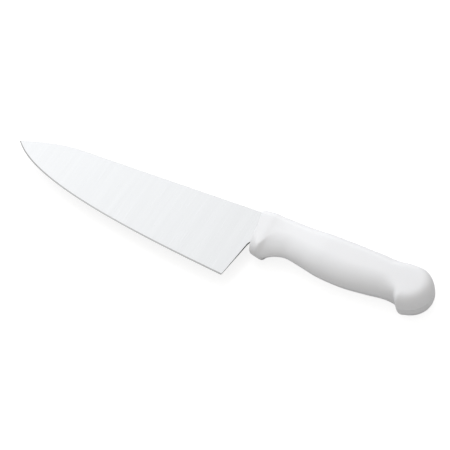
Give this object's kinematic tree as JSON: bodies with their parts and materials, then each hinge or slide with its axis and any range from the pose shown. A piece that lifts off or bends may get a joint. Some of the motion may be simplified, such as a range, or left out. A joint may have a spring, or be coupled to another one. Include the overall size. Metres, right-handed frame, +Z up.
{
  "type": "chef knife",
  "caption": "Kitchen knife with a wide pointed stainless blade and a moulded white plastic handle that has a finger guard and a round hooked butt.",
  "frame": {"origin": "on the surface that the knife lies on, under the middle of its bounding box", "axes": "the knife lies on its side; +X from the tip to the butt, +Y from the cutting edge to the spine, +Z up through its thickness"},
  "size_m": [0.3356, 0.0548, 0.0215],
  "materials": {
    "blade_steel": "satin ground stainless, grain from spine to edge",
    "handle_plastic": "white polypropylene, semi-matt with a fine moulded grain"
  },
  "bodies": {
    "root": {"blade": "blade_steel", "handle": "handle_plastic"}
  },
  "joints": []
}
